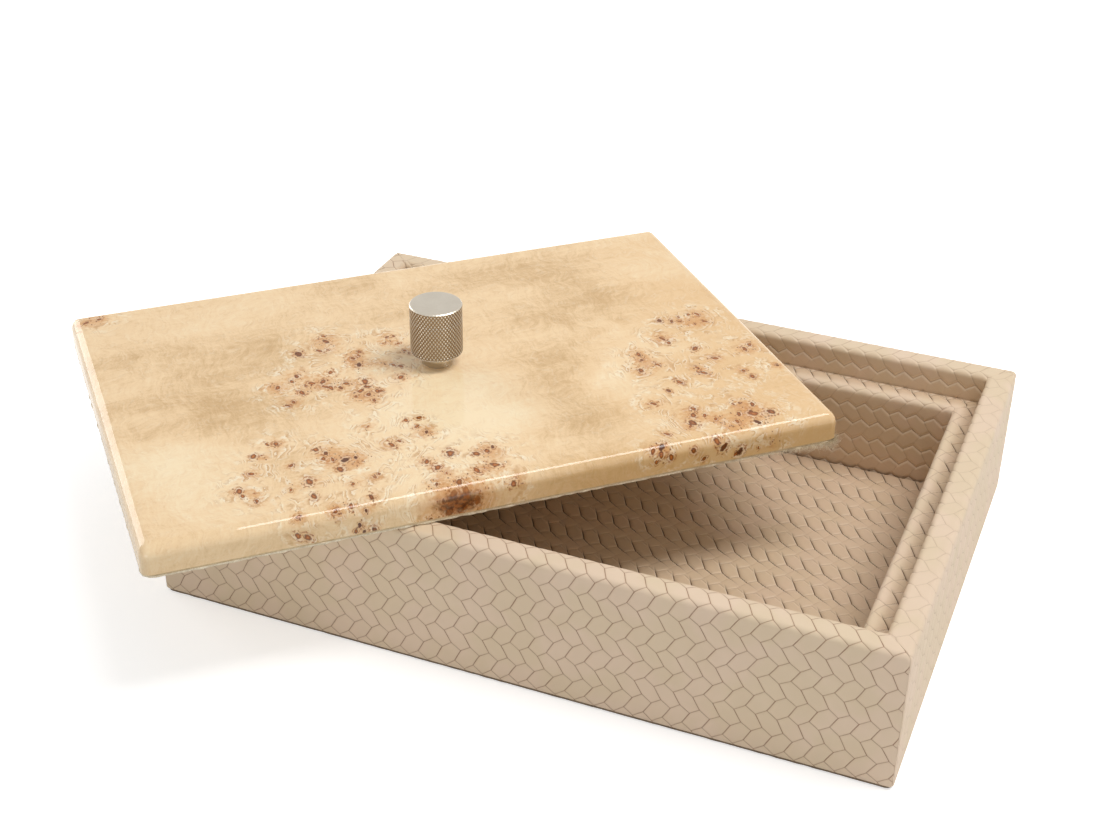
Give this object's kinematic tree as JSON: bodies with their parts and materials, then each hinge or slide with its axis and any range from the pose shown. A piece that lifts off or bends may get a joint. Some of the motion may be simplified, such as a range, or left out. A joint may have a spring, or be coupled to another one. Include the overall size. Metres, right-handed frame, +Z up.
{
  "type": "lidded storage box",
  "caption": "Rectangular leather-covered storage box with a stepped rim, and a loose glossy burl wood lid with a knurled metal knob, lying askew on the rim.",
  "frame": {"origin": "middle of the box's underside, on the surface it stands on; the lid overhangs the box, so this is not the middle of the whole bounding box", "axes": "+X along the box's long side to the viewer's right, +Y from the front wall to the back wall, +Z up"},
  "size_m": [0.3847, 0.3204, 0.1013],
  "materials": {
    "leather": "matt beige leather embossed with a herringbone of slanted cells",
    "board": "raw fibreboard",
    "card": "grey bookbinding card",
    "felt": "dark felt",
    "burl": "pale burl veneer under clear high-gloss lacquer",
    "lining": "pale napped lining with a frayed edge",
    "nickel": "satin nickel, knurled side and plain top",
    "steel": "zinc-plated steel"
  },
  "bodies": {
    "box_body": {"front_wall_board": "board", "back_wall_board": "board", "left_wall_board": "board", "right_wall_board": "board", "front_liner_board": "board", "back_liner_board": "board", "left_liner_board": "board", "right_liner_board": "board", "front_wall_leather": "leather", "back_wall_leather": "leather", "left_wall_leather": "leather", "right_wall_leather": "leather", "front_liner_leather": "leather", "back_liner_leather": "leather", "left_liner_leather": "leather", "right_liner_leather": "leather", "bottom_board": "board", "floor_card": "card", "floor_leather": "leather", "base_infill_card": "card", "base_felt": "felt"},
    "lid": {"lid_core": "board", "lid_top_veneer": "burl", "lid_backing_veneer": "board", "lid_front_edge_veneer": "burl", "lid_back_edge_veneer": "burl", "lid_left_edge_veneer": "burl", "lid_right_edge_veneer": "burl", "lid_lining": "lining", "knob": "nickel", "knob_washer": "steel", "knob_screw": "steel"}
  },
  "joints": [
    {"name": "lid_lift", "type": "slide", "parent": "box_body", "child": "lid", "axis": [0, 0, 1], "range_m": [0, 0.12]}
  ]
}
